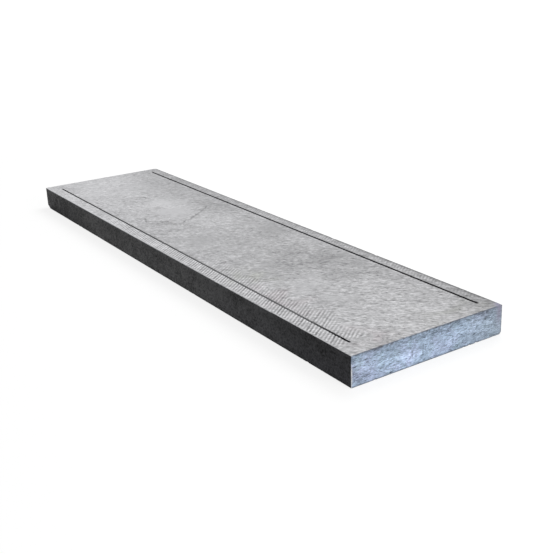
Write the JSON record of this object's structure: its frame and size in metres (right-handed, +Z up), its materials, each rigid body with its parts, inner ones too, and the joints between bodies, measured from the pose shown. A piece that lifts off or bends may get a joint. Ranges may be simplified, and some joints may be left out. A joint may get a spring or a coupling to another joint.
{
  "type": "stone window sill",
  "caption": "Long flat slab of blue-grey limestone with stopped drip grooves along both long edges, eased arrises and knocked corners.",
  "frame": {"origin": "middle of the face the slab lies on", "axes": "+X along the length, from the far end to the sawn end nearest the camera in the picture; +Y from the dark front edge to the back edge; +Z up, out of the grooved face"},
  "size_m": [1.2, 0.3, 0.05],
  "materials": {
    "blue_limestone": "sawn and honed, light grey on its broad faces, nearly black along the front edge, blue-grey on its sawn ends"
  },
  "bodies": {
    "root": {"stone_sill": "blue_limestone"}
  },
  "joints": []
}
